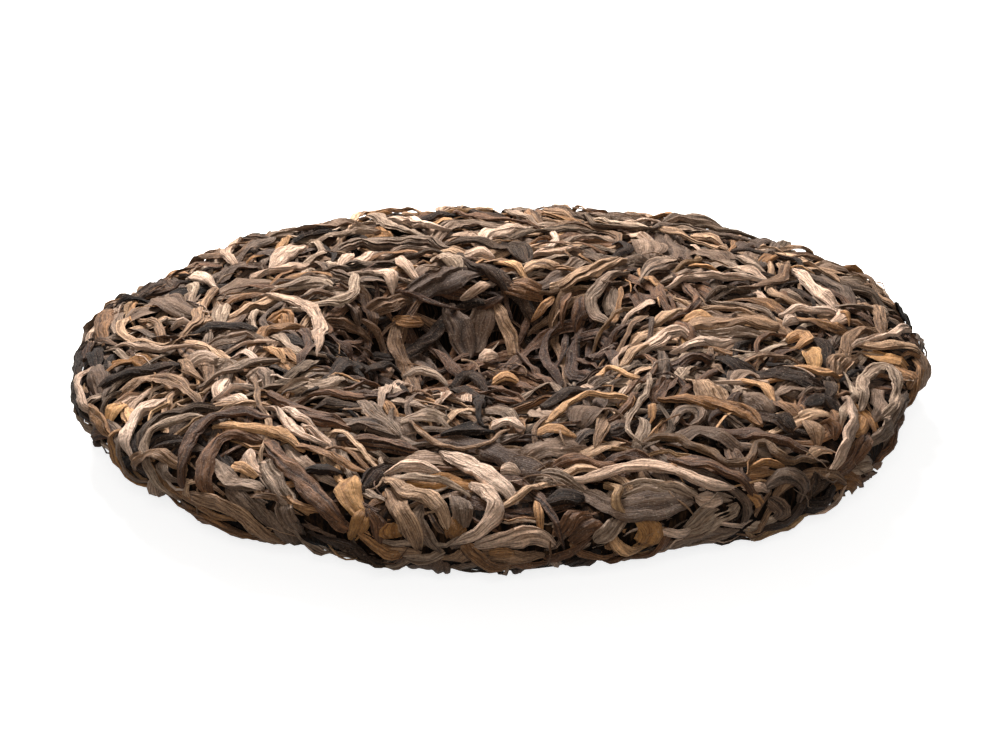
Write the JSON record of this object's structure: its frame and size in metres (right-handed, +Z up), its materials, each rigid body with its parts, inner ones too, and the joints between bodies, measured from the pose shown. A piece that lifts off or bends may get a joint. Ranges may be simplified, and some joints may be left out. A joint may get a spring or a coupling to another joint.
{
  "type": "pu erh tea cake",
  "caption": "Round cake of compressed whole tea leaves, lying flat with its dimpled back up.",
  "frame": {"origin": "middle of the flat spot under the cake, on the surface that it rests on", "axes": "+Z up through the dimple; -Y towards the side that the picture shows in front; +X to the right of that view"},
  "size_m": [0.1933, 0.1927, 0.0264],
  "materials": {
    "tea_leaves": "dry matte rolled leaves, dark brown with grey, tan and golden strips"
  },
  "bodies": {
    "root": {"tea_cake": "tea_leaves"}
  },
  "joints": []
}
